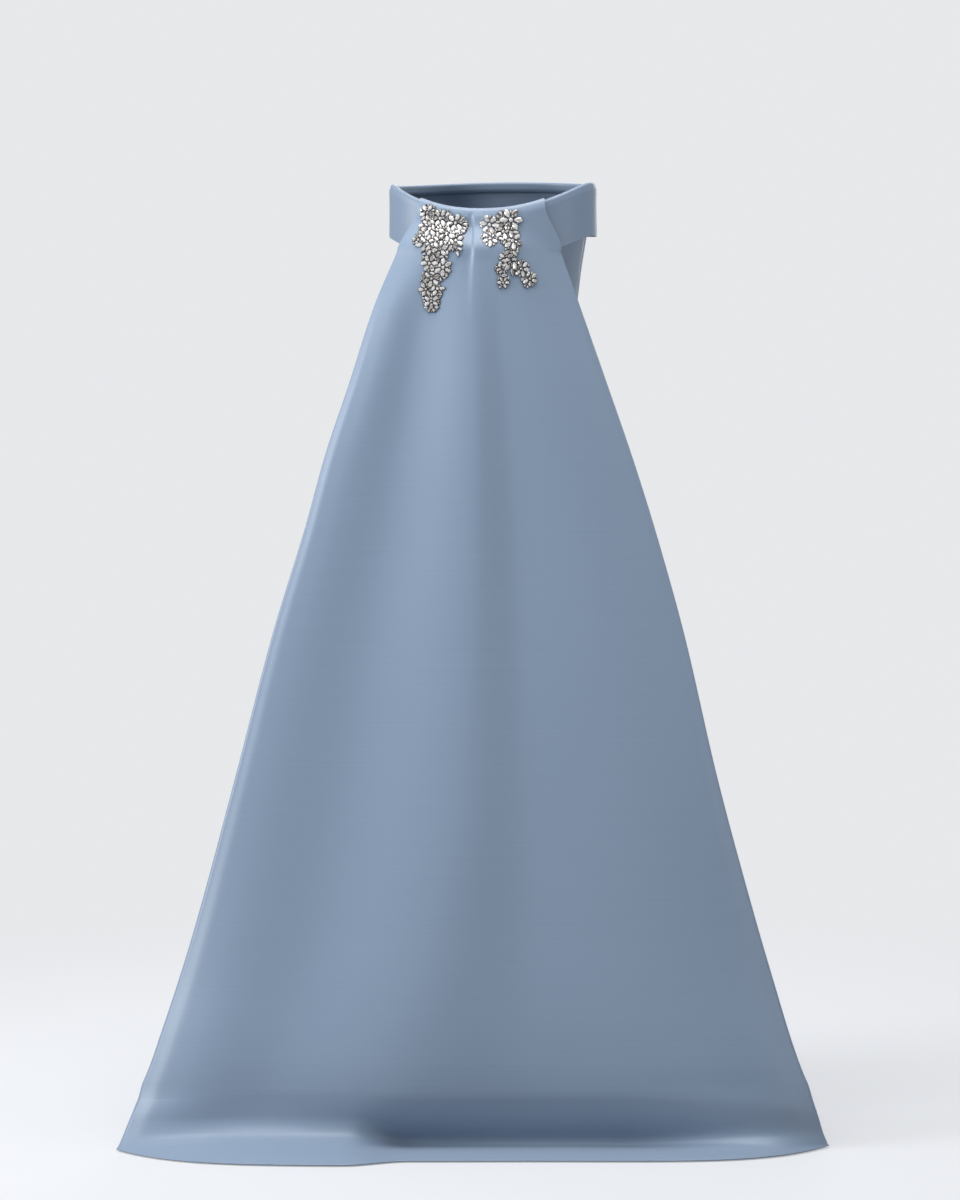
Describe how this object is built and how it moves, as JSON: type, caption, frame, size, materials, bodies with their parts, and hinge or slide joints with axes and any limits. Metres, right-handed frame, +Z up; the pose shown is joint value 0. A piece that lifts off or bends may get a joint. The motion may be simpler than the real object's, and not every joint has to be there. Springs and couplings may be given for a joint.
{
  "type": "strapless column gown",
  "caption": "Strapless column gown with a fold-over cuff and a full-length train hanging from the back neckline, trimmed with two crystal sprays",
  "frame": {"origin": "on the wearer's body axis at the level of the underarms, where the torso holds the gown up", "axes": "+Z up, the wearer faces -Y, +X is the wearer's left, and the train falls on the +Y side"},
  "size_m": [0.9645, 0.6553, 1.3519],
  "materials": {
    "satin": "dusty blue duchess satin, soft sheen",
    "column_satin": "the same satin, in the shade of the train",
    "crystal": "faceted clear crystals in dark silver settings"
  },
  "bodies": {
    "root": {"column_front": "column_satin", "column_back_left": "column_satin", "column_back_right": "column_satin", "cuff": "satin", "train": "satin", "crystal_spray_left": "crystal", "crystal_spray_right": "crystal"}
  },
  "joints": []
}
